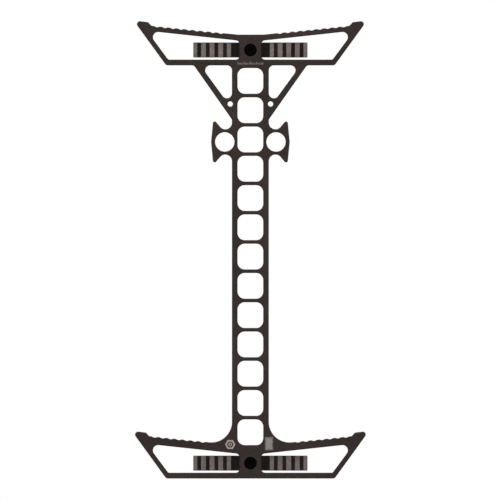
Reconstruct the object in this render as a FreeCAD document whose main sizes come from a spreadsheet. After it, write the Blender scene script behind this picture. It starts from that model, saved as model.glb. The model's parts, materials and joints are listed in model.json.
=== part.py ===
import FreeCAD, Part
import math
import os
import re

import Sketcher
from FreeCAD import Placement, Rotation, Vector

# One section of a climbing stick, in millimetres.  +X runs along the steps, +Z up the post and +Y
# towards the tree.  The origin is on the plane of the rearmost tooth tips, on the post's centre line,
# midway between the two pivots.  A step's own heights are counted from its pivot.
SIZES = {
    # plate
    "plate_thick": 12.7,
    "plate_back": 63.5,         # from the tooth tips forward to the plate's back face
    "edge_break": 0.8,
    "pivot_rise": 217.3,        # each pivot, above or below the origin
    # post and its windows
    "post_half": 19.4,
    "window_side": 27.0,
    "window_round": 7.5,
    "window_pitch": 30.8,
    "window_count": 13,
    # what the two steps share
    "tread_angle": 5.87,
    "bar_drop": 16.2,           # underside of the bottom bar, below the pivot
    "bar_reach": 88.65,         # outer corner of the bottom bar
    "bar_round": 4.0,
    "lip_ramp": 3.3,
    "lip_height": 3.75,
    "lip_foot_round": 2.0,
    "lip_top_round": 1.2,
    "tip_round": 3.2,
    "well_near": 11.4,          # hub side of the step window
    "well_drop": 10.1,          # bottom of the step window
    "well_near_rise": 9.7,      # top of the step window at the hub
    "well_far": 108.9,
    "well_far_rise": 20.25,
    "well_low_far": 86.4,
    "well_near_round": 4.2,
    "well_far_round": 5.5,
    "well_low_round": 2.3,
    # tread of each step
    "upper_tread_start": 13.5,
    "upper_tread_root": 16.2,
    "upper_lip_foot": 104.2,
    "upper_tip_reach": 123.1,
    "upper_groove_count": 9,
    "lower_tread_start": 19.4,
    "lower_tread_root": 19.44,
    "lower_lip_foot": 106.6,
    "lower_tip_reach": 125.1,
    "lower_groove_count": 7,
    "post_foot_round": 21.7,    # post into the lower tread
    "groove_first": 6.0,        # lip foot to the first groove
    "groove_pitch": 8.42,
    "groove_round": 4.5,
    "groove_depth": 0.9,
    # gussets under the upper step
    "gusset_reach": 59.5,
    "gusset_foot": 144.1,
    "gusset_top_round": 3.7,
    "gusset_foot_round": 3.0,
    "gusset_well_reach": 52.6,
    "gusset_well_foot": 155.6,
    "gusset_well_round": 5.3,
    "tie_hole": 5.5,
    "tie_hole_reach": 21.2,
    "tie_hole_rise": 160.5,
    # rope-cleat ears
    "ear_rise": 120.6,
    "ear_reach": 41.4,
    "horn_reach": 39.04,
    "horn_rise": 24.5,          # horn corner, above or below the ear's middle
    "horn_round": 2.0,
    "notch_root": 1.1,
    "notch_round": 7.0,
    "ear_hole": 20.3,
    "ear_hole_reach": 26.95,
    # toothed bracket, seen from above
    "bracket_deep": 15.9,       # along Z
    "bracket_edge": 0.4,
    "hub_half": 11.0,
    "hub_front": 62.5,
    "hub_back": 47.5,
    "stair_first": 20.4,        # inner end of the first stair tread
    "stair_end": 24.9,          # its outer end
    "stair_front": 49.2,
    "stair_width": 5.35,
    "stair_pitch": 9.05,
    "stair_count": 5,
    "bracket_reach": 60.1,
    "tooth_reach": 57.0,        # outermost tooth tip
    "tooth_pitch": 6.4,
    "tooth_count": 10,
    # pivot screw: socket-head shoulder screw
    "shoulder": 8.0,
    "shoulder_long": 25.0,
    "head": 13.0,
    "head_high": 5.5,
    "head_edge": 0.5,
    "head_sink": 6.0,           # counterbore depth in the plate
    "head_well": 13.4,          # counterbore diameter
    "socket_across": 4.0,
    "socket_deep": 3.3,
    "thread": 6.0,
    "thread_long": 11.0,
    "thread_neck": 4.7,
    "thread_neck_long": 1.0,
    "thread_edge": 0.6,
    # plain bushes
    "running_gap": 0.05,        # radial
    "face_gap": 0.05,
    "bush_outside": 10.0,
    "bush_flange": 15.0,
    "bush_flange_thick": 0.95,
    "bush_sleeve": 7.0,
    # washers
    "spring_outside": 14.6,
    "spring_inside": 8.4,
    "spring_thick": 0.8,
    "spring_cone": 0.4,
    "washer_outside": 12.0,
    "washer_inside": 6.4,
    "washer_thick": 1.6,
    # lock nut
    "nut_across": 10.0,
    "nut_hex_high": 4.4,
    "nut_high": 6.0,
    "nut_collar": 8.8,
    "nut_corner": 0.8,          # how far the chamfer reaches in from a corner of the hexagon
    "nut_corner_angle": 30.0,
    "insert_outside": 7.6,
    "insert_high": 1.5,
    "insert_lip": 0.3,
    "overrun": 1.0,             # how far a turned cut starts outside the nut
}

UPPER = "upper"
LOWER = "lower"
STATIONS = (UPPER, LOWER)
EXACT = 1e-4    # two lengths that differ by less are the same
NEAR = 0.02     # a corner is found within this distance of its place

doc = FreeCAD.newDocument("climbing_stick")


# ---------------------------------------------------------------- sheet and sketches

def fill_sheet():
    """Put every driving dimension in a cell of its own, with its name as the alias."""
    sheet = doc.addObject("Spreadsheet::Sheet", "Sizes")
    for row, (alias, number) in enumerate(SIZES.items(), start=1):
        sheet.set(f"A{row}", alias)
        sheet.set(f"B{row}", str(number))
        sheet.setAlias(f"B{row}", alias)
    doc.recompute()


def bound(text):
    """Turn plain dimension names in an expression into references to the sheet."""
    def cell(match):
        word = match.group()
        return f"Sizes.{word}" if word in SIZES else word
    return re.sub(r"[a-z_]+", cell, text)


def new_body(label, rise="0", back="0", turn="0"):
    """A body placed at height rise and depth back, turned about its own Z axis."""
    body = doc.addObject("PartDesign::Body", label)
    body.Label = label
    body.Placement = Placement(Vector(), Rotation(Vector(0, 0, 1), 0))
    body.setExpression("Placement.Base.z", bound(rise))
    body.setExpression("Placement.Base.y", bound(back))
    body.setExpression("Placement.Rotation.Angle", bound(turn))
    return body


def new_sketch(body, name, plane, shift=None, turn=None):
    """A sketch on one of the body's origin planes, shifted and turned by any expressions given."""
    sketch = body.newObject("Sketcher::SketchObject", f"{body.Label}_{name}")
    support = next(item for item in body.Origin.OriginFeatures if item.Role == plane)
    sketch.AttachmentSupport = (support, [""])
    sketch.MapMode = "FlatFace"
    sketch.AttachmentOffset = Placement(Vector(), Rotation(Vector(0, 0, 1), 0))
    for axis, text in zip("xyz", shift or ()):
        sketch.setExpression(f"AttachmentOffset.Base.{axis}", bound(text))
    if turn:
        sketch.setExpression("AttachmentOffset.Rotation.Angle", bound(turn))
    return sketch


def pin_point(sketch, geometry, position, place):
    """Hold a point of the sketch at a pair of expressions, measured from the sketch's origin."""
    for kind, text in zip(("DistanceX", "DistanceY"), place):
        number = float(sketch.evalExpression(bound(text)))
        index = sketch.addConstraint(Sketcher.Constraint(kind, -1, 1, geometry, position, number))
        sketch.setExpression(f"Constraints[{index}]", bound(text))


def draw_outline(sketch, corners):
    """Draw a closed outline of straight edges through the corners, each a pair of expressions."""
    points = [Vector(*(float(sketch.evalExpression(bound(text))) for text in corner), 0)
              for corner in corners]
    first = sketch.GeometryCount
    for start, end in zip(points, points[1:] + points[:1]):
        sketch.addGeometry(Part.LineSegment(start, end))
    for index, corner in enumerate(corners):
        before = first + (index - 1) % len(corners)
        sketch.addConstraint(Sketcher.Constraint("Coincident", before, 2, first + index, 1))
        pin_point(sketch, first + index, 1, corner)


def draw_circle(sketch, centre, diameter):
    """Draw a circle whose centre and diameter are expressions."""
    x, y = (float(sketch.evalExpression(bound(text))) for text in centre)
    size = float(sketch.evalExpression(bound(diameter)))
    circle = sketch.addGeometry(Part.Circle(Vector(x, y, 0), Vector(0, 0, 1), size / 2))
    pin_point(sketch, circle, 3, centre)
    index = sketch.addConstraint(Sketcher.Constraint("Diameter", circle, size))
    sketch.setExpression(f"Constraints[{index}]", bound(diameter))


def draw_hexagon(sketch, across):
    """Draw a hexagon about the sketch's origin, with two of its flats level."""
    draw_outline(sketch, [(f"{across} / sqrt(3) * cos({60 * k})", f"{across} / sqrt(3) * sin({60 * k})")
                          for k in range(6)])


# ---------------------------------------------------------------- features

def add_feature(body, kind, name, **properties):
    """Add a feature to the body and set its properties; text goes in as an expression."""
    feature = body.newObject(f"PartDesign::{kind}", f"{body.Label}_{name}")
    for key, content in properties.items():
        if isinstance(content, str) and key in ("Length", "Size", "Radius", "Occurrences"):
            feature.setExpression(key, bound(content))
        else:
            setattr(feature, key, content)
    doc.recompute()
    return feature


def pad(body, name, sketch, length, **properties):
    return add_feature(body, "Pad", f"{name}_pad", Profile=sketch, Length=length, **properties)


def cut_through(body, name, sketch):
    """Pocket a sketch through the whole body, both ways, and check that it took something away."""
    volume = body.Shape.Volume
    pocket = add_feature(body, "Pocket", f"{name}_cut", Profile=sketch, Type="ThroughAll", Midplane=True)
    if body.Shape.Volume >= volume:
        raise RuntimeError(f"{pocket.Name} cuts nothing")
    return pocket


def revolve(body, name, corners):
    """Turn a closed (radius, depth) outline about the body's Y axis."""
    sketch = new_sketch(body, f"{name}_outline", "XY_Plane")
    draw_outline(sketch, corners)
    return add_feature(body, "Revolution", f"{name}_turned", Profile=sketch,
                       ReferenceAxis=(sketch, ["V_Axis"]), Angle=360.0)


def turn_away(body, name, corners):
    """Cut away what a closed (radius, depth) outline sweeps about the body's Y axis."""
    sketch = new_sketch(body, f"{name}_outline", "XY_Plane")
    draw_outline(sketch, corners)
    volume = body.Shape.Volume
    groove = add_feature(body, "Groove", f"{name}_cut", Profile=sketch,
                         ReferenceAxis=(sketch, ["V_Axis"]), Angle=360.0)
    if body.Shape.Volume >= volume:
        raise RuntimeError(f"{groove.Name} cuts nothing")


def along_row(body, pocket, sketch, pitch, count):
    """Repeat a pocket along its sketch's own X direction."""
    row = add_feature(body, "LinearPattern", f"{pocket.Label}_row", Originals=[pocket],
                      Direction=(sketch, ["H_Axis"]), Length=f"{pitch} * ({count} - 1)",
                      Occurrences=count)
    body.Tip = row
    doc.recompute()
    return row


def round_corners(body, radius, corners):
    """Fillet the edges that run along Y through the given (across, up) corners."""
    places = [[float(body.evalExpression(bound(text))) for text in corner] for corner in corners]
    names = []
    for number, edge in enumerate(body.Tip.Shape.Edges, start=1):
        start, end = edge.Vertexes[0].Point, edge.Vertexes[-1].Point
        if abs(start.y - end.y) < EXACT or math.hypot(start.x - end.x, start.z - end.z) > EXACT:
            continue
        if any(math.hypot(start.x - across, start.z - up) < NEAR for across, up in places):
            names.append(f"Edge{number}")
    if len(names) != len(places):
        raise RuntimeError(f"{radius}: {len(names)} corners found, {len(places)} expected")
    add_feature(body, "Fillet", radius, Base=(body.Tip, names), Radius=radius)


def break_edges(body, size, levels):
    """Chamfer the edges of the two faces that bound the body's thickness, but not on its centre plane."""
    axis, low_level, high_level = levels
    names = []
    for number, edge in enumerate(body.Tip.Shape.Edges, start=1):
        box = edge.BoundBox
        low, high = {"y": (box.YMin, box.YMax), "z": (box.ZMin, box.ZMax)}[axis]
        in_face = high - low < EXACT and min(abs(low - low_level), abs(low - high_level)) < EXACT
        if in_face and box.XMax > EXACT:
            names.append(f"Edge{number}")
    add_feature(body, "Chamfer", size, Base=(body.Tip, names), Size=size)


def mirror_body(body):
    """Add the other half of the body, as its image in the centre plane."""
    centre = next(item for item in body.Origin.OriginFeatures if item.Role == "YZ_Plane")
    image = add_feature(body, "Mirrored", "both_halves", TransformMode="Whole shape",
                        MirrorPlane=(centre, [""]))
    body.Tip = image
    doc.recompute()


# ---------------------------------------------------------------- frame plate

def crest(step, reach):
    """Height of a step's tread line at a reach from the centre line, above its pivot."""
    return f"{step}_tread_root + tan(tread_angle) * (({reach}) - {step}_tread_start)"


def pivot(step):
    return "pivot_rise" if step == UPPER else "-pivot_rise"


def step_corners(step):
    """Outline of one half of a step: tread, lip, slanted end and bottom bar."""
    foot = f"{step}_lip_foot"
    heights = [("0", f"{step}_tread_root"), (f"{step}_tread_start", f"{step}_tread_root"),
               (foot, crest(step, foot)),
               (f"{foot} + lip_ramp", f"{crest(step, foot)} + lip_height"),
               (f"{step}_tip_reach", f"{crest(step, step + '_tip_reach')} + lip_height"),
               ("bar_reach", "-bar_drop"), ("0", "-bar_drop")]
    return [(across, f"{pivot(step)} + {up}") for across, up in heights]


def well_corners(step):
    """Outline of one step window."""
    heights = [("well_near", "well_near_rise"), ("well_far", "well_far_rise"),
               ("well_low_far", "-well_drop"), ("well_near", "-well_drop")]
    return [(across, f"{pivot(step)} + {up}") for across, up in heights]


def gusset_corners():
    return [("0", "pivot_rise - bar_drop"), ("gusset_reach", "pivot_rise - bar_drop"),
            ("post_half", "gusset_foot"), ("0", "gusset_foot")]


def gusset_well_corners():
    return [("post_half", "pivot_rise - bar_drop"), ("gusset_well_reach", "pivot_rise - bar_drop"),
            ("post_half", "gusset_well_foot")]


def ear_corners():
    """Outline of one ear: two horns, with a notch between each horn and the post."""
    return [("0", "ear_rise + notch_root"), ("post_half", "ear_rise + notch_root"),
            ("horn_reach", "ear_rise + horn_rise"), ("ear_reach", "ear_rise"),
            ("horn_reach", "ear_rise - horn_rise"), ("post_half", "ear_rise - notch_root"),
            ("0", "ear_rise - notch_root")]


def post_corners():
    """Outline of half of the post, from the bottom bar to the middle of the upper tread."""
    low, high = "-pivot_rise - bar_drop", "pivot_rise + upper_tread_root"
    return [("0", low), ("post_half", low), ("post_half", high), ("0", high)]


def window_corners():
    """The outer corners of all the post windows."""
    half = "window_side / 2"
    levels = [f"(window_pitch * ({k} - (window_count - 1) / 2))" for k in range(SIZES["window_count"])]
    return [(half, f"{level} {sign} {half}") for level in levels for sign in "+-"]


def cut_post_windows(body):
    """A column of square windows, made as a row along the sketch's own X direction, which runs down."""
    top = "window_pitch * (window_count - 1) / 2"
    sketch = new_sketch(body, "post_window", "XZ_Plane", shift=("0", top, "0"), turn="-90")
    half = "window_side / 2"
    draw_outline(sketch, [(f"-{half}", f"-{half}"), (half, f"-{half}"), (half, half), (f"-{half}", half)])
    pocket = cut_through(body, "post_window", sketch)
    along_row(body, pocket, sketch, "window_pitch", "window_count")


def cut_grooves(body, step):
    """A row of shallow round grooves across a tread, from the lip inwards."""
    foot = f"{step}_lip_foot"
    height = f"{pivot(step)} + {crest(step, foot)}"
    sketch = new_sketch(body, f"{step}_groove", "XZ_Plane", shift=(foot, height, "0"),
                        turn="180 + tread_angle")
    draw_circle(sketch, ("groove_first", "groove_depth - groove_round"), "2 * groove_round")
    pocket = cut_through(body, f"{step}_groove", sketch)
    along_row(body, pocket, sketch, "groove_pitch", f"{step}_groove_count")


def cut_pivot_holes(body):
    """Counterbored holes for the two pivot screws, sunk from the plate's front face."""
    sketch = new_sketch(body, "pivots", "XZ_Plane", shift=("0", "0", "plate_thick"))
    for step in STATIONS:
        draw_circle(sketch, ("0", pivot(step)), "shoulder")
    doc.recompute()
    hole = body.newObject("PartDesign::Hole", f"{body.Label}_pivot_holes")
    hole.Profile = sketch
    hole.DepthType = "ThroughAll"
    hole.HoleCutType = "Counterbore"
    hole.HoleCutCustomValues = True
    hole.setExpression("Diameter", bound("shoulder + 2 * running_gap"))
    hole.setExpression("HoleCutDiameter", bound("head_well"))
    hole.setExpression("HoleCutDepth", bound("head_sink"))
    doc.recompute()


def make_frame():
    """The plate, machined in one piece; its back face is the body's own XZ plane."""
    body = new_body("stick_frame", back="-plate_back")
    steps = {step: step_corners(step) for step in STATIONS}
    wells = {step: well_corners(step) for step in STATIONS}
    limbs = {"post": post_corners(), "gusset": gusset_corners(), "ear": ear_corners()}
    limbs.update({f"{step}_step": corners for step, corners in steps.items()})
    openings = {f"{step}_well": corners for step, corners in wells.items()}
    openings["gusset_well"] = gusset_well_corners()
    for name, corners in limbs.items():
        sketch = new_sketch(body, name, "XZ_Plane")
        draw_outline(sketch, corners)
        pad(body, name, sketch, "plate_thick")
    for name, corners in openings.items():
        sketch = new_sketch(body, name, "XZ_Plane")
        draw_outline(sketch, corners)
        cut_through(body, name, sketch)
    cut_post_windows(body)

    ear, gusset = ear_corners(), gusset_corners()
    rounds = {
        "window_round": window_corners(),
        "lip_foot_round": [corners[2] for corners in steps.values()],
        "lip_top_round": [corners[3] for corners in steps.values()],
        "tip_round": [corners[4] for corners in steps.values()],
        "bar_round": [corners[5] for corners in steps.values()],
        "well_near_round": [corners[k] for corners in wells.values() for k in (0, 3)],
        "well_far_round": [corners[1] for corners in wells.values()],
        "well_low_round": [corners[2] for corners in wells.values()],
        "post_foot_round": [steps[LOWER][1]],
        "gusset_top_round": [gusset[1]],
        "gusset_foot_round": [gusset[2]],
        "gusset_well_round": gusset_well_corners(),
        "horn_round": [ear[2], ear[4]],
        "notch_round": [ear[1], ear[5]],
    }
    for radius, corners in rounds.items():
        round_corners(body, radius, corners)

    holes = new_sketch(body, "limb_holes", "XZ_Plane")
    draw_circle(holes, ("ear_hole_reach", "ear_rise"), "ear_hole")
    draw_circle(holes, ("tie_hole_reach", "tie_hole_rise"), "tie_hole")
    cut_through(body, "limb_holes", holes)
    break_edges(body, "edge_break", ("y", -SIZES["plate_thick"], 0))
    for step in STATIONS:
        cut_grooves(body, step)
    mirror_body(body)
    cut_pivot_holes(body)


# ---------------------------------------------------------------- bracket

def bracket_corners():
    """Half of the bracket from above: hub, stepped front face, end and sloping rear face."""
    corners = [("0", "-hub_front"), ("hub_half", "-hub_front")]
    last = SIZES["stair_count"] - 1
    for k in range(last + 1):
        front = f"-stair_front + {k} * stair_pitch"
        start = "stair_first" if k == 0 else f"stair_end + {k} * stair_pitch - stair_width"
        end = "bracket_reach" if k == last else f"stair_end + {k} * stair_pitch"
        corners += [(start, front), (end, front)]
    return corners + [("bracket_reach", "tooth_reach - bracket_reach"), ("tooth_reach", "0"),
                      ("tooth_reach - hub_back", "-hub_back"), ("0", "-hub_back")]


def make_bracket(step):
    """A V bracket with square teeth along both rear faces, cut from bar as thick as it is tall."""
    body = new_body(f"{step}_standoff", rise=pivot(step))
    sketch = new_sketch(body, "half", "XY_Plane")
    draw_outline(sketch, bracket_corners())
    pad(body, "half", sketch, "bracket_deep", Midplane=True)
    gap = new_sketch(body, "tooth_gap", "XY_Plane", shift=("tooth_reach", "0", "0"), turn="225")
    draw_outline(gap, [("0", "0"), ("tooth_pitch", "0"), ("tooth_pitch / 2", "tooth_pitch / 2")])
    pocket = cut_through(body, "tooth_gap", gap)
    along_row(body, pocket, gap, "tooth_pitch", "tooth_count")
    bore = new_sketch(body, "bore", "XZ_Plane")
    draw_circle(bore, ("0", "0"), "bush_outside")
    cut_through(body, "bore", bore)
    break_edges(body, "bracket_edge", ("z", -SIZES["bracket_deep"] / 2, SIZES["bracket_deep"] / 2))
    mirror_body(body)


# ---------------------------------------------------------------- pivot hardware

def shoulder_end():
    """Depth at which the screw's shoulder ends."""
    return "-plate_back - plate_thick + head_sink + shoulder_long"


def thread_bore():
    """Radius of the bore that the thread passes through."""
    return "thread / 2 + running_gap"


def make_screw(step):
    """Shoulder screw: the head sits in the plate's counterbore and the thread points at the tree."""
    body = new_body(f"{step}_pivot_screw", rise=pivot(step), back="-plate_back - plate_thick + head_sink")
    neck_end = "shoulder_long + thread_neck_long"
    end = "shoulder_long + thread_long"
    revolve(body, "screw", [
        ("0", "-head_high"), ("head / 2 - head_edge", "-head_high"),
        ("head / 2", "-head_high + head_edge"), ("head / 2", "0"),
        ("shoulder / 2", "0"), ("shoulder / 2", "shoulder_long"),
        ("thread_neck / 2", "shoulder_long"), ("thread_neck / 2", neck_end),
        ("thread / 2", f"{neck_end} + (thread - thread_neck) / 2"),
        ("thread / 2", f"{end} - thread_edge"), ("thread / 2 - thread_edge", end), ("0", end)])
    socket = new_sketch(body, "socket", "XZ_Plane", shift=("0", "0", "head_high"))
    draw_hexagon(socket, "socket_across")
    volume = body.Shape.Volume
    add_feature(body, "Pocket", "socket_cut", Profile=socket, Length="socket_deep")
    if body.Shape.Volume >= volume:
        raise RuntimeError("the socket cuts nothing")


def make_bush(step, end, back, turn):
    """Flanged plain bush; its flange's face is at the body's own origin, its sleeve along its own +Y."""
    body = new_body(f"{step}_{end}_bush", rise=pivot(step), back=back, turn=turn)
    inside = "shoulder / 2 + running_gap"
    length = "bush_flange_thick + bush_sleeve"
    revolve(body, "bush", [
        (inside, "0"), ("bush_flange / 2", "0"), ("bush_flange / 2", "bush_flange_thick"),
        ("bush_outside / 2", "bush_flange_thick"), ("bush_outside / 2", length), (inside, length)])


def make_spring_washer(step):
    """Conical washer: its rim bears on the rear bush and its inner edge on the flat washer."""
    body = new_body(f"{step}_spring_washer", rise=pivot(step),
                    back="-hub_back + bush_flange_thick + 2 * face_gap")
    inner, outer = "spring_inside / 2", "spring_outside / 2"
    revolve(body, "cone", [(outer, "0"), (outer, "spring_thick"), (inner, "spring_thick + spring_cone"),
                           (inner, "spring_cone")])


def make_flat_washer(step):
    """Washer clamped against the end of the screw's shoulder."""
    body = new_body(f"{step}_flat_washer", rise=pivot(step), back=shoulder_end())
    revolve(body, "ring", [("washer_inside / 2", "0"), ("washer_outside / 2", "0"),
                           ("washer_outside / 2", "washer_thick"), ("washer_inside / 2", "washer_thick")])


def make_lock_nut(step):
    """Hexagon with a round collar that holds the nylon ring; the hexagon bears on the flat washer."""
    body = new_body(f"{step}_lock_nut", rise=pivot(step), back=f"{shoulder_end()} + washer_thick")
    sketch = new_sketch(body, "hexagon", "XZ_Plane")
    draw_hexagon(sketch, "nut_across")
    pad(body, "hexagon", sketch, "nut_hex_high", Reversed=True)
    revolve(body, "collar", [("0", "0"), ("nut_collar / 2", "0"),
                             ("nut_collar / 2", "nut_high - insert_lip"),
                             ("nut_collar / 2 - insert_lip", "nut_high"), ("0", "nut_high")])
    inner, outer = "nut_across / sqrt(3) - nut_corner", "nut_across / sqrt(3) + overrun"
    for name, level, sign in (("front", "0", "+"), ("back", "nut_hex_high", "-")):
        slope = f"{level} {sign} (nut_corner + overrun) * tan(nut_corner_angle)"
        turn_away(body, f"{name}_corner", [(inner, level), (outer, level), (outer, slope)])
    seat, rim = "nut_high - insert_lip - insert_high", "nut_high - insert_lip"
    turn_away(body, "bore", [("0", "-overrun"), (thread_bore(), "-overrun"), (thread_bore(), seat),
                             ("insert_outside / 2", seat), ("insert_outside / 2", rim),
                             ("insert_outside / 2 - insert_lip", "nut_high + overrun"),
                             ("0", "nut_high + overrun")])


def make_nut_insert(step):
    """Nylon ring in the lock nut's collar."""
    seat = "washer_thick + nut_high - insert_lip - insert_high"
    body = new_body(f"{step}_nut_insert", rise=pivot(step), back=f"{shoulder_end()} + {seat}")
    revolve(body, "ring", [(thread_bore(), "0"), ("insert_outside / 2", "0"),
                           ("insert_outside / 2", "insert_high"), (thread_bore(), "insert_high")])


# ---------------------------------------------------------------- whole stick

def make_station(step):
    """The bracket at one pivot, and the hardware that it turns on."""
    make_bracket(step)
    make_screw(step)
    make_bush(step, "front", "-plate_back + face_gap", "0")
    make_bush(step, "rear", "-hub_back + bush_flange_thick", "180")
    make_spring_washer(step)
    make_flat_washer(step)
    make_lock_nut(step)
    make_nut_insert(step)


def check_document(bodies):
    for item in doc.Objects:
        if any(flag in item.State for flag in ("Invalid", "Error")):
            raise RuntimeError(f"{item.Name} is {item.State}")
    for body in bodies:
        if body.Shape.isNull() or not body.Shape.isValid() or len(body.Shape.Solids) != 1:
            raise RuntimeError(f"{body.Label} is not one valid solid")


def write_parts(bodies):
    os.makedirs("parts", exist_ok=True)
    for body in bodies:
        body.Shape.exportStep(f"parts/{body.Label}.step")
        print(f"{body.Label}: {body.Shape.Volume:.1f} mm3")


fill_sheet()
make_frame()
for station in STATIONS:
    make_station(station)
doc.recompute()
finished = [item for item in doc.Objects if item.TypeId == "PartDesign::Body"]
check_document(finished)
write_parts(finished)
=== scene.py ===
import json
import math

import bmesh
import bpy
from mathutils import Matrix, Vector


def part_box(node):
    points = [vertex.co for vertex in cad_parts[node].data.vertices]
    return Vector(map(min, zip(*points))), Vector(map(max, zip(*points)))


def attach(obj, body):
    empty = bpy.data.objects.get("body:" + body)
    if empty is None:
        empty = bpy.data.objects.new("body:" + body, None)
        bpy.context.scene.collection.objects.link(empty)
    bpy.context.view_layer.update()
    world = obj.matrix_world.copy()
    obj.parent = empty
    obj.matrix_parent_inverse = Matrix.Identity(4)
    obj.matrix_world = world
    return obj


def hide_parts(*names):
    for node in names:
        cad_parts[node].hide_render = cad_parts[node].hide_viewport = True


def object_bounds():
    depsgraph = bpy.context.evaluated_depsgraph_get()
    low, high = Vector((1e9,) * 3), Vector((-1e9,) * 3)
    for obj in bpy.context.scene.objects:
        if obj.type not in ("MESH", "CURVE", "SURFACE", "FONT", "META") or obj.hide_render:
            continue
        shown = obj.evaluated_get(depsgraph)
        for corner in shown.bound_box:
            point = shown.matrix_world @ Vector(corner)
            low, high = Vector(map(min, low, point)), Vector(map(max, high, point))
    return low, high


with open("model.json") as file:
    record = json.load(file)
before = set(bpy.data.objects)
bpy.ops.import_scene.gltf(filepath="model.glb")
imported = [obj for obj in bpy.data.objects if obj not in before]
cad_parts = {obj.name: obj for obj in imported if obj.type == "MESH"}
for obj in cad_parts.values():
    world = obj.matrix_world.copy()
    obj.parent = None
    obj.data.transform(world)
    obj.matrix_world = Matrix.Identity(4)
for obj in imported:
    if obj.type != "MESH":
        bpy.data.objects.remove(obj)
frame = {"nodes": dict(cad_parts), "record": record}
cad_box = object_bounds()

# One section of a climbing stick: a plate with two steps, and two V standoffs that swivel on screws.
# The plate, standoffs, bushes, washers and nylon rings are the frame's own nodes, dressed with materials;
# the screws and lock nuts are made here in finer detail, and so are the marks on the plate.

MM = 0.001
STEPS = ("upper", "lower")
SHARP = math.radians(30)            # an edge that turns by more than this is a sharp one


# ---------------------------------------------------------------- measures from the frame

def middle_of(node):
    low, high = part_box(node)
    return (low + high) / 2


PLATE_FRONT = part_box("stick_frame")[0].y
PIVOTS = {step: middle_of(f"{step}_pivot_screw") for step in STEPS}
OBJECT_MIDDLE = (cad_box[0] + cad_box[1]) / 2


# ---------------------------------------------------------------- node helpers

class Graph:
    """A small wrapper that adds nodes to a material or world and links them."""

    def __init__(self, tree):
        self.tree = tree

    def add(self, kind, inputs=None, **settings):
        node = self.tree.nodes.new(kind)
        for key, content in settings.items():
            setattr(node, key, content)
        for key, content in (inputs or {}).items():
            self.feed(node.inputs[key], content)
        return node

    def feed(self, socket, content):
        if isinstance(content, bpy.types.NodeSocket):
            self.tree.links.new(content, socket)
        else:
            socket.default_value = content

    def maths(self, operation, first, second=0.0):
        node = self.add("ShaderNodeMath", operation=operation)
        self.feed(node.inputs[0], first)
        self.feed(node.inputs[1], second)
        return node.outputs[0]

    def remap(self, content, low, high, new_low=0.0, new_high=1.0):
        """A smooth step of content, from new_low below low to new_high above high."""
        node = self.add("ShaderNodeMapRange", interpolation_type="SMOOTHSTEP", inputs={
            "Value": content, "From Min": low, "From Max": high, "To Min": new_low, "To Max": new_high})
        return node.outputs["Result"]

    def noise(self, place, scale, detail=3.0, roughness=0.5, stretch=(1.0, 1.0, 1.0)):
        """Noise over a place in metres: scale is in features a metre, and stretch slows it on an axis."""
        mapped = self.add("ShaderNodeMapping", inputs={"Vector": place, "Scale": stretch})
        node = self.add("ShaderNodeTexNoise", inputs={
            "Vector": mapped.outputs[0], "Scale": scale, "Detail": detail, "Roughness": roughness})
        return node.outputs["Fac"]

    def blend(self, share, first, second, data_type="RGBA"):
        """A colour, or with data_type FLOAT a number, between first and second."""
        node = self.add("ShaderNodeMix", data_type=data_type)
        self.feed(node.inputs["Factor"], share)
        self.feed(node.inputs["A"], first)
        self.feed(node.inputs["B"], second)
        return node.outputs["Result"]

    def bump(self, height, distance, strength):
        """A surface normal; distance is the height's full range, in metres."""
        node = self.add("ShaderNodeBump", inputs={
            "Height": height, "Distance": distance, "Strength": strength})
        return node.outputs["Normal"]


def new_material(name):
    """A material with only a Principled shader; returns it, its graph and the shader."""
    material = bpy.data.materials.new(name)
    material.use_nodes = True
    shader = material.node_tree.nodes["Principled BSDF"]
    return material, Graph(material.node_tree), shader


def facing(graph, axis):
    """How squarely a surface faces along an axis, from 0 to 1."""
    geometry = graph.add("ShaderNodeNewGeometry")
    split = graph.add("ShaderNodeSeparateXYZ", inputs={"Vector": geometry.outputs["True Normal"]})
    return graph.maths("ABSOLUTE", split.outputs["XYZ".index(axis)])


def place_of(graph):
    """The place on the object, in metres in its own frame."""
    return graph.add("ShaderNodeTexCoord").outputs["Object"]


# ---------------------------------------------------------------- materials

def plate_anodised():
    """Dark bronze anodise over blasted plate faces and end-milled walls."""
    material, graph, shader = new_material("plate_anodised")
    place = place_of(graph)
    flat = graph.remap(facing(graph, "Y"), 0.85, 0.97)

    dark, light = (0.0303, 0.0220, 0.0194, 1), (0.0382, 0.0286, 0.0254, 1)
    spotted, bare = (0.064, 0.050, 0.046, 1), (0.17, 0.155, 0.15, 1)
    cloud = graph.noise(place, 14, detail=2)
    mottle = graph.noise(place, 260, detail=4, roughness=0.6)
    colour = graph.blend(graph.remap(cloud, 0.35, 0.65), dark, light)
    colour = graph.blend(graph.remap(mottle, 0.4, 0.75, 0.0, 0.25), colour, spotted)

    edge = graph.remap(facing(graph, "Y"), 0.3, 0.6)
    edge = graph.maths("MULTIPLY", edge, graph.maths("SUBTRACT", 1.0, flat))
    rub = graph.remap(graph.noise(place, 90, detail=5, roughness=0.7), 0.56, 0.72)
    wear = graph.maths("MULTIPLY", graph.maths("MULTIPLY", edge, rub), 0.25)
    graph.feed(shader.inputs["Base Color"], graph.blend(wear, colour, bare))

    grain = graph.noise(place, 5200, detail=2)
    tool_lines = graph.noise(place, 2600, detail=2, stretch=(0.02, 1.0, 0.02))
    height = graph.blend(flat, tool_lines, grain, data_type="FLOAT")
    graph.feed(shader.inputs["Normal"], graph.bump(height, 0.06 * MM, 0.35))

    rough = graph.remap(graph.noise(place, 700, detail=4), 0.3, 0.7, 0.36, 0.46)
    graph.feed(shader.inputs["Roughness"], rough)
    shader.inputs["Metallic"].default_value = 0.7
    shader.inputs["Specular Tint"].default_value = (1.0, 0.78, 0.72, 1)
    return material


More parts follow.
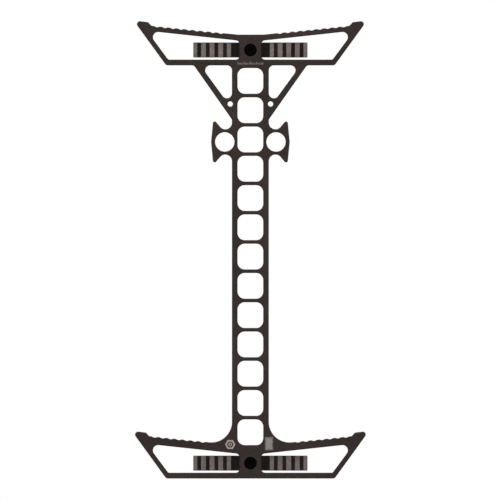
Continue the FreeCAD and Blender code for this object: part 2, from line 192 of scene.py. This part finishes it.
def bracket_anodised():
    """Grey-bronze anodise on extruded bar: die lines run along the bar, saw marks cross its ends."""
    material, graph, shader = new_material("bracket_anodised")
    place = place_of(graph)
    end_face = graph.remap(facing(graph, "Z"), 0.85, 0.97)

    dark, light = (0.220, 0.188, 0.178, 1), (0.265, 0.230, 0.219, 1)
    cloud = graph.noise(place, 60, detail=3)
    graph.feed(shader.inputs["Base Color"], graph.blend(graph.remap(cloud, 0.35, 0.65), dark, light))

    die_lines = graph.noise(place, 3000, detail=3, stretch=(1.0, 1.0, 0.015))
    saw_marks = graph.noise(place, 1800, detail=2, stretch=(0.03, 1.0, 1.0))
    height = graph.blend(end_face, die_lines, saw_marks, data_type="FLOAT")
    graph.feed(shader.inputs["Normal"], graph.bump(height, 0.08 * MM, 0.4))

    rough = graph.remap(graph.noise(place, 500, detail=4), 0.3, 0.7, 0.32, 0.42)
    graph.feed(shader.inputs["Roughness"], rough)
    shader.inputs["Metallic"].default_value = 1.0
    shader.inputs["Specular Tint"].default_value = (0.82, 0.60, 0.55, 1)
    return material


def steel(name, dark, light, roughness):
    """Turned steel with a thin finish: faint blotches and fine turning marks."""
    material, graph, shader = new_material(name)
    place = place_of(graph)
    blotch = graph.noise(place, 420, detail=4, roughness=0.6)
    graph.feed(shader.inputs["Base Color"], graph.blend(graph.remap(blotch, 0.35, 0.7), dark, light))
    marks = graph.noise(place, 6000, detail=2, stretch=(1.0, 0.25, 1.0))
    graph.feed(shader.inputs["Normal"], graph.bump(marks, 0.04 * MM, 0.3))
    low, high = roughness
    graph.feed(shader.inputs["Roughness"], graph.remap(blotch, 0.3, 0.7, low, high))
    shader.inputs["Metallic"].default_value = 1.0
    return material


def polymer(name, dark, light, roughness):
    """Moulded polymer with a faint orange-peel skin."""
    material, graph, shader = new_material(name)
    place = place_of(graph)
    cloud = graph.noise(place, 300, detail=3)
    graph.feed(shader.inputs["Base Color"], graph.blend(graph.remap(cloud, 0.35, 0.65), dark, light))
    skin = graph.noise(place, 2200, detail=2)
    graph.feed(shader.inputs["Normal"], graph.bump(skin, 0.03 * MM, 0.4))
    low, high = roughness
    graph.feed(shader.inputs["Roughness"], graph.remap(cloud, 0.3, 0.7, low, high))
    return material


MATERIALS = {
    "plate_anodised": plate_anodised(),
    "bracket_anodised": bracket_anodised(),
    "screw_steel": steel("screw_steel", (0.0022, 0.0018, 0.0018, 1), (0.004, 0.0034, 0.0034, 1),
                         (0.32, 0.45)),
    "zinc_steel": steel("zinc_steel", (0.30, 0.30, 0.31, 1), (0.38, 0.38, 0.39, 1), (0.28, 0.4)),
    "bush_polymer": polymer("bush_polymer", (0.012, 0.012, 0.012, 1), (0.02, 0.02, 0.02, 1), (0.38, 0.5)),
    "insert_nylon": polymer("insert_nylon", (0.55, 0.56, 0.58, 1), (0.62, 0.63, 0.65, 1), (0.4, 0.5)),
    "mark_bright": polymer("mark_bright", (0.29, 0.265, 0.255, 1), (0.37, 0.34, 0.33, 1), (0.55, 0.7)),
    "mark_faint": polymer("mark_faint", (0.19, 0.175, 0.165, 1), (0.26, 0.24, 0.23, 1), (0.55, 0.7)),
}


def finish_cad_nodes():
    """Give every CAD node the procedural material of its slot."""
    slots = {part["node"]: part["material_slot"] for part in frame["record"]["subparts"]}
    for name, node in frame["nodes"].items():
        node.data.materials.clear()
        node.data.materials.append(MATERIALS[slots[name]])


# ---------------------------------------------------------------- broken edges

EDGE_BREAKS = {"standoff": 0.35, "front_bush": 0.25, "rear_bush": 0.25, "flat_washer": 0.2,
               "spring_washer": 0.12, "nut_insert": 0.15}       # mm, by the kind of piece
FLAT = math.radians(0.6)            # faces that turn by less are joined into one


def break_edges():
    """Round off the sharp edges of the sawn bar, the bushes, the washers and the nylon rings."""
    for step in STEPS:
        for kind, width in EDGE_BREAKS.items():
            node = frame["nodes"][f"{step}_{kind}"]
            node.modifiers.new("joined", "WELD").merge_threshold = 0.001 * MM
            flat = node.modifiers.new("flat", "DECIMATE")
            flat.decimate_type = "DISSOLVE"
            flat.angle_limit = FLAT
            edges = node.modifiers.new("edges", "BEVEL")
            edges.width = width * MM
            edges.segments = 2
            edges.limit_method = "ANGLE"
            edges.angle_limit = SHARP
            edges.miter_outer = "MITER_ARC"
            edges.use_clamp_overlap = False
            edges.loop_slide = False
            node.modifiers.new("normals", "WEIGHTED_NORMAL")


# ---------------------------------------------------------------- turned pieces

def hexagon(across):
    """The radius of a hexagon, with two level flats, as a function of the angle."""
    return lambda angle: across / 2 / math.cos(angle % math.radians(60) - math.radians(30))


def eased(profile, steps=3):
    """The rings of a (depth, radius, ease) profile, with each corner rounded from ease before it to ease
    after it; its two ends have an ease of 0."""
    rings = []
    for index, (depth, radius, ease) in enumerate(profile):
        corner = Vector((depth, radius))
        if not ease:
            rings.append((depth, radius))
            continue
        start = corner + ease * (Vector(profile[index - 1][:2]) - corner).normalized()
        end = corner + ease * (Vector(profile[index + 1][:2]) - corner).normalized()
        for step in range(steps + 1):
            share = step / steps
            rings.append(tuple(start.lerp(corner, share).lerp(corner.lerp(end, share), share)))
    return rings


def turn(name, place, rings, looped=False, segments=96):
    """A solid about the Y axis through place, from (depth, radius) rings in mm; a radius may be a
    function of the angle, and looped joins the last ring to the first."""
    bm = bmesh.new()
    loops = []
    for depth, radius in rings:
        if radius == 0:
            loops.append([bm.verts.new((0, depth * MM, 0))])
            continue
        loop = []
        for k in range(segments):
            angle = math.tau * k / segments
            reach = (radius(angle) if callable(radius) else radius) * MM
            loop.append(bm.verts.new((reach * math.cos(angle), depth * MM, reach * math.sin(angle))))
        loops.append(loop)
    pairs = list(zip(loops, loops[1:])) + ([(loops[-1], loops[0])] if looped else [])
    for first, second in pairs:
        for k in range(segments):
            corners = [first[k % len(first)], first[(k + 1) % len(first)],
                       second[(k + 1) % len(second)], second[k % len(second)]]
            bm.faces.new(dict.fromkeys(corners))
    piece = finish_mesh(name, bm)
    piece.location = place
    return piece


def finish_mesh(name, bm):
    """Put a closed bmesh in an object, facing outwards, whose faces are smooth up to 30 degrees."""
    bmesh.ops.recalc_face_normals(bm, faces=bm.faces)
    if bm.calc_volume(signed=True) < 0:
        bmesh.ops.reverse_faces(bm, faces=bm.faces)
    mesh = bpy.data.meshes.new(name)
    for face in bm.faces:
        face.smooth = True
    for edge in bm.edges:
        edge.smooth = edge.calc_face_angle(math.pi) < SHARP
    bm.to_mesh(mesh)
    bm.free()
    piece = bpy.data.objects.new(name, mesh)
    bpy.context.scene.collection.objects.link(piece)
    return piece


# ---------------------------------------------------------------- pivot screws

# Depths are in mm from the top of the screw's head, and the rest is in mm too.
SOCKET_ACROSS, SOCKET_DEEP = 4.0, 3.3
SOCKET_MOUTH, SOCKET_CHAMFER = 2.55, 0.3            # radius and depth of the cone at its mouth
DRILL_RADIUS, DRILL_DEEP = 1.6, 0.9                 # the drill's point in the floor of the socket
HEAD_HIGH, HEAD_CHAMFER = 5.5, 0.6
KNURLS, KNURL_DEEP = 48, 0.06
KNURL_START, KNURL_END = 1.3, 4.9
KNURL_RUN_OUT = 0.1
SHOULDER_RADIUS, SHOULDER_END = 4.0, 30.5
NECK_RADIUS, NECK_END = 2.35, 31.5
THREAD_RADIUS, THREAD_DEEP, THREAD_PITCH = 3.0, 0.6, 1.0
THREAD_CHAMFER = 0.6
GROOVE_FLOOR, GROOVE_FLANK = 0.3, 0.25              # widths, as shares of the pitch
RINGS_A_TURN = 10


def knurl(radius):
    """The knurled rim of a screw's head: shallow teeth around a circle."""
    return lambda angle: radius - KNURL_DEEP * abs(1 - 2 * ((angle * KNURLS / math.tau) % 1))


def thread(depth, end):
    """The radius of a right-hand thread at a depth, as a function of the angle: crests between grooves
    with a flat floor and slanted flanks, cut down to a cone at both ends of the thread."""
    start_cone = NECK_RADIUS + depth - NECK_END
    end_cone = THREAD_RADIUS + end - THREAD_CHAMFER - depth
    crest = min(THREAD_RADIUS, start_cone, end_cone)

    def radius(angle):
        off_middle = abs((depth / THREAD_PITCH - angle / math.tau) % 1 - 0.5)
        groove = min(1, max(0, 1 - (off_middle - GROOVE_FLOOR / 2) / GROOVE_FLANK))
        return min(crest, THREAD_RADIUS - THREAD_DEEP * groove)
    return radius


def make_screw(step):
    """A black socket-head shoulder screw, knurled, with a chamfered hexagon socket and a cut thread."""
    low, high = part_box(f"{step}_pivot_screw")
    head, end = (high.x - low.x) / 2 / MM, (high.y - low.y) / MM
    socket = hexagon(SOCKET_ACROSS)
    rings = [(SOCKET_DEEP + DRILL_DEEP, 0), (SOCKET_DEEP, DRILL_RADIUS), (SOCKET_DEEP, socket),
             (SOCKET_CHAMFER, socket)]
    rings += eased([(0, SOCKET_MOUTH, 0), (0, head - HEAD_CHAMFER, 0.25), (HEAD_CHAMFER, head, 0.2),
                    (KNURL_START - KNURL_RUN_OUT, head, 0)])
    rings += [(KNURL_START, knurl(head)), (KNURL_END, knurl(head))]
    rings += eased([(KNURL_END + KNURL_RUN_OUT, head, 0), (HEAD_HIGH, head, 0.2),
                    (HEAD_HIGH, SHOULDER_RADIUS, 0), (SHOULDER_END, SHOULDER_RADIUS, 0.3),
                    (SHOULDER_END, NECK_RADIUS, 0.3), (NECK_END, NECK_RADIUS, 0)])
    count = round((end - NECK_END) / THREAD_PITCH * RINGS_A_TURN)
    for k in range(1, count + 1):
        depth = NECK_END + (end - NECK_END) * k / count
        rings.append((depth, thread(depth, end)))
    rings.append((end, 0))
    piece = turn(f"{step}_screw", (0, low.y, PIVOTS[step].z), rings)
    piece.data.materials.append(MATERIALS["screw_steel"])
    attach(piece, "frame_body")
    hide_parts(f"{step}_pivot_screw")


# ---------------------------------------------------------------- lock nuts

# Depths are in mm from the nut's face on the washer, and the rest is in mm too.
HEX_HIGH, HEX_CHAMFER = 4.4, 0.8
CORNER_CONE = math.radians(30)                      # the slant of the cone that cuts the corners
COLLAR_RADIUS, COLLAR_CROWN = 4.4, 3.9              # the collar's outside, and its crimped top
COLLAR_FOOT, COLLAR_BEND = 4.9, 0.3                 # the radius where it starts, and the crimp's height
MOUTH_RADIUS = 3.6                                  # the hole in the crimped top
INSERT_RADIUS, INSERT_START, INSERT_END = 3.8, 4.2, 5.7
BORE_RADIUS, BORE_MOUTH, BORE_CHAMFER = 3.05, 3.4, 0.35


def chamfered_hexagon(across, inset):
    """A hexagon's radius where the cone cuts its corners, at a depth of inset below its face."""
    cone = across / math.sqrt(3) - HEX_CHAMFER + inset / math.tan(CORNER_CONE)
    flats = hexagon(across)
    return lambda angle: min(flats(angle), cone)


def make_lock_nut(step):
    """A zinc-plated lock nut: chamfered hexagon, crimped collar, and the seat of its nylon ring."""
    low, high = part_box(f"{step}_lock_nut")
    across, end = (high.z - low.z) / MM, (high.y - low.y) / MM
    deepest = HEX_CHAMFER * math.tan(CORNER_CONE)
    levels = [deepest * share for share in (0, 0.1, 0.3, 0.5, 0.75, 1)]
    rings = [(level, chamfered_hexagon(across, level)) for level in levels]
    rings += [(HEX_HIGH - level, chamfered_hexagon(across, level)) for level in reversed(levels)]
    rings += eased([(HEX_HIGH, COLLAR_FOOT, 0), (HEX_HIGH, COLLAR_RADIUS, 0.2),
                    (end - COLLAR_BEND, COLLAR_RADIUS, 0.5), (end, COLLAR_CROWN, 0.3),
                    (end, MOUTH_RADIUS, 0.08), (INSERT_END, MOUTH_RADIUS, 0.08),
                    (INSERT_END, INSERT_RADIUS, 0), (INSERT_START, INSERT_RADIUS, 0),
                    (INSERT_START, BORE_RADIUS, 0.1), (BORE_CHAMFER, BORE_RADIUS, 0), (0, BORE_MOUTH, 0)])
    piece = turn(f"{step}_nut", (0, low.y, PIVOTS[step].z), rings, looped=True)
    piece.data.materials.append(MATERIALS["zinc_steel"])
    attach(piece, "frame_body")
    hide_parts(f"{step}_lock_nut")


# ---------------------------------------------------------------- etched marks

# All in mm.  A place is given as (x, height above the nearest pivot).
MARK_HIGH, MARK_ROOT = 0.04, 0.01                   # how far a mark stands out of the plate, and into it
TICK_COUNT, TICK_PITCH, TICK_WIDE = 21, 1.3, 0.35
TICK_LONG, TICK_SHORT, TICK_GROUP = 3.0, 2.0, 5     # every fifth tick is a long one
TICK_FOOT = -15.4                                   # the ticks' lower ends, above the upper pivot
HEXAGON_PLACE, HEXAGON_RADII = (-21.2, 19.6), (0.9, 2.1, 3.6, 5.4)
PANEL_PLACE, PANEL_SIZE = (19.6, 20.6), (8.4, 13.7)
PANEL_INSETS = (0, 1.0, 1.8)                        # how much smaller each outline is than the panel


def bar(x, z, wide, high):
    """Corners of an upright bar about (x, z)."""
    return [(x - wide / 2, z - high / 2), (x + wide / 2, z - high / 2),
            (x + wide / 2, z + high / 2), (x - wide / 2, z + high / 2)]


def ring(inner, outer):
    """The mitred sides of a ring between two outlines with the same number of corners."""
    return [[inner[k - 1], outer[k - 1], outer[k], inner[k]] for k in range(len(inner))]


def polygon(x, z, radius, count):
    """Corners of a regular polygon about (x, z)."""
    angles = [math.tau * k / count for k in range(count)]
    return [(x + radius * math.cos(angle), z + radius * math.sin(angle)) for angle in angles]


def make_mark(name, material, outlines):
    """Thin etched shapes on the plate's front face, from outlines of (x, z) corners in mm."""
    bm = bmesh.new()
    for outline in outlines:
        bm.faces.new([bm.verts.new((x * MM, PLATE_FRONT + MARK_ROOT * MM, z * MM)) for x, z in outline])
    bmesh.ops.remove_doubles(bm, verts=bm.verts, dist=0.001 * MM)
    raised = bmesh.ops.extrude_face_region(bm, geom=bm.faces[:])
    moved = [item for item in raised["geom"] if isinstance(item, bmesh.types.BMVert)]
    bmesh.ops.translate(bm, verts=moved, vec=(0, -(MARK_HIGH + MARK_ROOT) * MM, 0))
    piece = finish_mesh(name, bm)
    piece.data.materials.append(MATERIALS[material])
    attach(piece, "frame_body")


def make_marks():
    """A row of gauge ticks under the upper pivot, and two plain figures beside the post's foot."""
    upper, lower = PIVOTS["upper"].z / MM, PIVOTS["lower"].z / MM
    ticks = []
    for k in range(TICK_COUNT):
        high = TICK_SHORT if k % TICK_GROUP else TICK_LONG
        across = TICK_PITCH * (k - (TICK_COUNT - 1) / 2)
        ticks.append(bar(across, upper + TICK_FOOT + high / 2, TICK_WIDE, high))
    make_mark("gauge_ticks", "mark_bright", ticks)

    x, rise = HEXAGON_PLACE
    hexagons = [polygon(x, lower + rise, radius, 6) for radius in HEXAGON_RADII]
    make_mark("hexagon_mark", "mark_bright", ring(*hexagons[:2]) + ring(*hexagons[2:]))

    x, rise = PANEL_PLACE
    wide, high = PANEL_SIZE
    panels = [bar(x, lower + rise, wide - inset, high - inset) for inset in PANEL_INSETS]
    make_mark("plain_panel", "mark_faint", ring(panels[1], panels[0]) + [panels[2]])


# ---------------------------------------------------------------- camera, lights, floor

PICTURE_WIDE = 526 * MM
CAMERA_PLACE = (-0.4 * MM, PLATE_FRONT - 1.5, 6.9 * MM)
FLOOR_REACH, FLOOR_GAP = 15, 0.2 * MM               # half the floor's width; its gap below the bottom bar
SUN_SPREAD = math.radians(25)


def make_camera():
    """A level orthographic camera in front of the stick."""
    data = bpy.data.cameras.new("camera")
    data.type = "ORTHO"
    data.ortho_scale = PICTURE_WIDE
    camera = bpy.data.objects.new("camera", data)
    bpy.context.scene.collection.objects.link(camera)
    camera.location = CAMERA_PLACE
    camera.rotation_euler = (math.radians(90), 0, 0)
    bpy.context.scene.camera = camera


def spare(light, objects):
    """Keep a light off some objects."""
    lit = bpy.data.collections.new(f"{light.name}_spares")
    light.light_linking.receiver_collection = lit
    for index, thing in enumerate(objects):
        lit.objects.link(thing)
        lit.collection_objects[index].light_linking.link_state = "EXCLUDE"


def make_light(name, place, size, power, spared):
    """A square soft light that faces the middle of the object and stays off the spared objects."""
    data = bpy.data.lights.new(name, "AREA")
    data.size = size
    data.energy = power
    light = bpy.data.objects.new(name, data)
    bpy.context.scene.collection.objects.link(light)
    light.location = place
    light.rotation_euler = (OBJECT_MIDDLE - Vector(place)).to_track_quat("-Z", "Y").to_euler()
    spare(light, spared)


def make_sun(towards, strength, spared):
    """A broad, even light over the whole floor, from the direction given."""
    data = bpy.data.lights.new("skylight", "SUN")
    data.angle = SUN_SPREAD
    data.energy = strength
    sun = bpy.data.objects.new("skylight", data)
    bpy.context.scene.collection.objects.link(sun)
    sun.rotation_euler = Vector(towards).to_track_quat("Z", "Y").to_euler()
    spare(sun, spared)


def make_world():
    """White to the camera; to the object a dim room that is brighter above, below, in front and at the
    two front corners."""
    world = bpy.data.worlds.new("studio")
    world.use_nodes = True
    bpy.context.scene.world = world
    graph = Graph(world.node_tree)
    background = world.node_tree.nodes["Background"]
    sky = graph.add("ShaderNodeTexCoord").outputs["Generated"]
    way = graph.add("ShaderNodeSeparateXYZ", inputs={"Vector": sky}).outputs
    ceiling = graph.remap(way["Z"], 0.3, 0.85, 0.0, 0.45)
    ground = graph.remap(way["Z"], -0.55, -0.15, 0.42, 0.0)
    front = graph.remap(way["Y"], -0.85, -0.4, 0.28, 0.03)
    corners = graph.maths("MULTIPLY", graph.remap(way["Y"], -0.7, -0.4, 0.5, 0.0),
                          graph.remap(graph.maths("ABSOLUTE", way["X"]), 0.35, 0.6))
    room = graph.maths("ADD", graph.maths("ADD", ceiling, ground), graph.maths("ADD", front, corners))
    seen = graph.add("ShaderNodeLightPath").outputs["Is Camera Ray"]
    graph.feed(background.inputs["Strength"], graph.maths("MAXIMUM", seen, room))
    background.inputs["Color"].default_value = (1, 1, 1, 1)


def make_floor():
    """A plain pale floor just under the bottom bar."""
    mesh = bpy.data.meshes.new("floor")
    level = cad_box[0].z - FLOOR_GAP
    corners = [(-1, -1), (1, -1), (1, 1), (-1, 1)]
    mesh.from_pydata([(FLOOR_REACH * x, FLOOR_REACH * y, level) for x, y in corners], [], [(0, 1, 2, 3)])
    floor = bpy.data.objects.new("floor", mesh)
    bpy.context.scene.collection.objects.link(floor)
    material, graph, shader = new_material("floor_paint")
    dark, light = (0.80, 0.80, 0.80, 1), (0.82, 0.82, 0.82, 1)
    cloud = graph.noise(place_of(graph), 3, detail=2)
    graph.feed(shader.inputs["Base Color"], graph.blend(cloud, dark, light))
    shader.inputs["Roughness"].default_value = 0.8
    mesh.materials.append(material)
    floor.visible_glossy = False
    return floor


def make_studio():
    """Floor, room and lights.  The side lights and the sun would glare on the standoffs, so they spare
    them; places and sizes are in metres."""
    make_world()
    floor = make_floor()
    standoffs = [frame["nodes"][f"{step}_standoff"] for step in STEPS]
    make_light("front_softbox", (0.0, -2.6, 0.25), size=1.6, power=7.4, spared=[floor])
    make_light("back_softbox", (0.0, 2.4, 0.45), size=0.9, power=6, spared=[floor])
    for name, side in (("left", -1), ("right", 1)):
        make_light(f"{name}_softbox", (side * 2.6, 0.2, 0.2), size=1.4, power=12,
                   spared=[floor, *standoffs])
        make_light(f"{name}_back_softbox", (side * 1.8, 1.8, -0.3), size=1.2, power=8,
                   spared=[floor, *standoffs])
    make_sun((-0.35, -0.35, 0.87), strength=2.3, spared=standoffs)
    bpy.context.scene.view_settings.view_transform = "Standard"


# ---------------------------------------------------------------- the whole scene

make_camera()
finish_cad_nodes()
break_edges()
for station in STEPS:
    make_screw(station)
    make_lock_nut(station)
make_marks()
make_studio()
